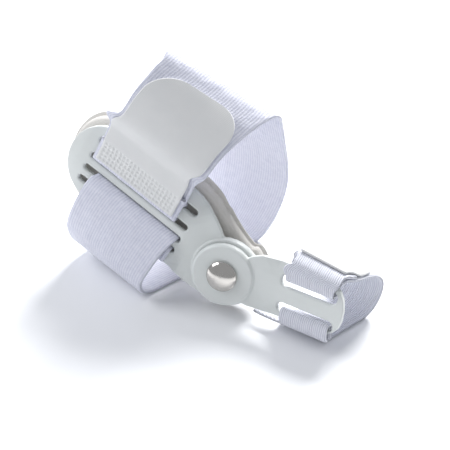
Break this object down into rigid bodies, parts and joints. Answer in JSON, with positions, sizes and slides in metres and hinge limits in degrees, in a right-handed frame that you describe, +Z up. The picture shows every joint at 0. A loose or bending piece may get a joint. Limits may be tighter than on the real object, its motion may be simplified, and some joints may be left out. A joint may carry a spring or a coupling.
{
  "type": "bunion corrector",
  "caption": "Hinged splint for the big toe: slotted foot plate and toe arm on a rivet, foam pad behind, wide foot strap and narrow toe strap with hook tabs.",
  "frame": {"origin": "under the middle of the part's bounding box, on the floor that both straps lie on", "axes": "+X towards the toe end of the splint, +Y towards the back of the foot loop, +Z up"},
  "size_m": [0.1206, 0.1028, 0.092],
  "materials": {
    "moulded_plastic": "satin",
    "nickel": "polished",
    "foam_cover": "matte",
    "loop_cloth": "matte",
    "hook_cloth": "satin"
  },
  "bodies": {
    "foot_part": {"foot_plate": "moulded_plastic", "pad": "foam_cover", "rivet": "nickel", "foot_strap": "loop_cloth", "foot_tab": "hook_cloth"},
    "toe_part": {"toe_arm": "moulded_plastic", "toe_strap": "loop_cloth", "toe_tab": "hook_cloth"}
  },
  "joints": [
    {"name": "toe_arm_hinge", "type": "hinge", "parent": "foot_part", "child": "toe_part", "pos_m": [0.00121, -0.02451, 0.018], "axis": [-0.2912, -0.9207, 0.2597], "range_deg": [-25, 25]}
  ]
}
